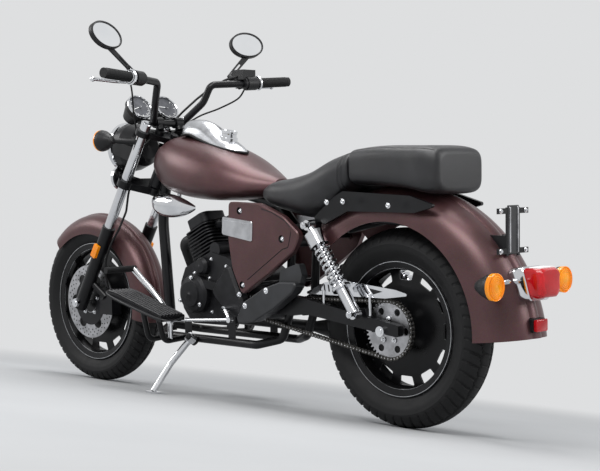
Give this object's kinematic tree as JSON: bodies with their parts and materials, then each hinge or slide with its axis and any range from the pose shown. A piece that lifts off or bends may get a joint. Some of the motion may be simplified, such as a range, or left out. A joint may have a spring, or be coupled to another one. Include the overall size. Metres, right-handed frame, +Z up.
{
  "type": "cruiser motorcycle",
  "caption": "Cruiser motorcycle with a single-cylinder engine, chain drive, deep mudguards and two-level saddle, parked leaning on its side stand.",
  "frame": {"origin": "on the floor, under the centre of the plan of the leaning machine", "axes": "+X forward, +Y to the rider's left, +Z up; the machine leans 9.5 degrees to its left on its side stand"},
  "size_m": [2.32, 0.8628, 1.3389],
  "materials": {
    "maroon_paint": "satin",
    "black_paint": "satin",
    "black_alloy": "satin",
    "chrome": "polished",
    "black_steel": "satin",
    "steel": "satin",
    "tyre": "matte",
    "rubber": "matte",
    "leather": "satin",
    "black_plastic": "satin",
    "amber_lens": "gloss",
    "red_lens": "gloss",
    "glass": "gloss",
    "mirror_glass": "polished"
  },
  "bodies": {
    "chassis": {"frame_backbone": "black_paint", "frame_cradle": "black_paint", "frame_rear": "black_paint", "swingarm": "black_paint", "rear_axle": "chrome", "fuel_tank": "maroon_paint", "tank_console": "chrome", "saddle": "leather", "pillion_pad": "leather", "rear_mudguard": "maroon_paint", "mudguard_rails": "black_paint", "side_covers": "maroon_paint", "crankcase": "black_alloy", "engine_covers": "black_alloy", "cylinder": "black_alloy", "cylinder_head": "black_alloy", "carburettor": "black_alloy", "exhaust": "black_steel", "horn_cover": "chrome", "pivot_covers": "black_plastic", "floorboards": "black_steel", "gear_linkage": "steel", "brake_pedal": "black_steel", "shock_bodies": "chrome", "shock_springs": "chrome", "chain": "steel", "chain_guard": "chrome", "tail_lamp": "red_lens", "tail_lamp_base": "black_plastic", "rear_indicator_lenses": "amber_lens", "plate_bracket": "black_paint", "rear_caliper": "black_alloy"},
    "steering": {"fork_tubes": "chrome", "fork_sliders": "black_paint", "front_axle": "chrome", "triple_clamps": "black_paint", "front_mudguard": "maroon_paint", "headlamp_shell": "black_paint", "headlamp_glass": "glass", "headlamp_bracket": "black_paint", "horn": "black_paint", "gauges": "black_plastic", "handlebar": "black_paint", "grips": "rubber", "control_housings": "black_plastic", "hand_levers": "chrome", "mirrors": "black_paint", "mirror_glasses": "mirror_glass", "front_indicators": "black_plastic", "front_amber_lenses": "amber_lens", "front_caliper": "black_alloy", "brake_hose": "rubber"},
    "front_wheel": {"front_rim": "black_alloy", "front_tyre": "tyre", "front_disc": "steel"},
    "rear_wheel": {"rear_rim": "black_alloy", "rear_tyre": "tyre", "rear_disc": "steel", "rear_sprocket": "steel"},
    "stand": {"side_stand": "chrome"}
  },
  "joints": [
    {"name": "steering_turn", "type": "hinge", "parent": "chassis", "child": "steering", "pos_m": [0.49683, -0.04562, 0.79764], "axis": [-0.515, 0.1415, 0.8454], "range_deg": [-38, 38]},
    {"name": "front_wheel_spin", "type": "hinge", "parent": "steering", "child": "front_wheel", "pos_m": [0.85901, -0.12908, 0.29889], "axis": [0, 0.9863, -0.165], "continuous": true},
    {"name": "rear_wheel_spin", "type": "hinge", "parent": "chassis", "child": "rear_wheel", "pos_m": [-0.64099, -0.12825, 0.30382], "axis": [0, 0.9863, -0.165], "continuous": true},
    {"name": "stand_fold", "type": "hinge", "parent": "chassis", "child": "stand", "pos_m": [0.20601, -0.0093, 0.19672], "axis": [0.0731, 0.8935, 0.4431], "range_deg": [0, 102.65]}
  ]
}
